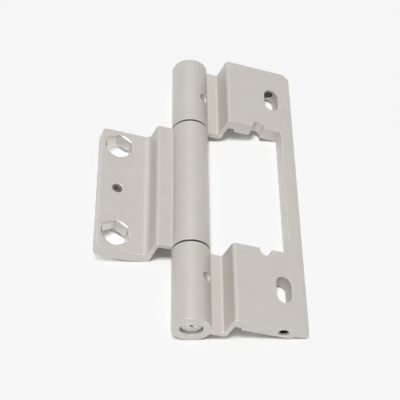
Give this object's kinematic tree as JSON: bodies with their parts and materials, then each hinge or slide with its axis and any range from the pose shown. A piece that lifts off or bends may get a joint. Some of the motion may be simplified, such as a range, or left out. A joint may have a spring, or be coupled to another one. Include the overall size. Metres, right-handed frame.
{
  "type": "lift off hinge",
  "caption": "Door hinge with stepped aluminium leaves on a steel pin: a slotted frame leaf with a milled window, and a door leaf with hexagonal holes that folds into it.",
  "frame": {"origin": "middle between the frame leaf's two slots, on the face of the frame leaf that lies on the door frame", "axes": "+Y along the pin, towards the end with the trimmed corner; +Z out of the frame leaf's visible face; +X from the pin towards the frame leaf's outer edge"},
  "size_m": [0.1042, 0.176, 0.0345],
  "materials": {
    "leaf": "powder-coated, satin warm grey",
    "pin": "turned stainless steel",
    "bush": "moulded polyamide",
    "screw": "plain stainless steel"
  },
  "bodies": {
    "frame": {"frame_leaf": "leaf", "hinge_pin": "pin", "pin_grub_screw_near": "screw", "pin_grub_screw_far": "screw", "height_grub_screw_near": "screw", "height_grub_screw_far": "screw"},
    "door": {"door_leaf": "leaf", "bush_near": "bush", "bush_far": "bush", "door_grub_screw": "screw"}
  },
  "joints": [
    {"name": "door_swing", "type": "hinge", "parent": "frame", "child": "door", "pos_m": [-0.0443, 0, -0.0073], "axis": [0, 1, 0], "range_deg": [0, 180]}
  ]
}
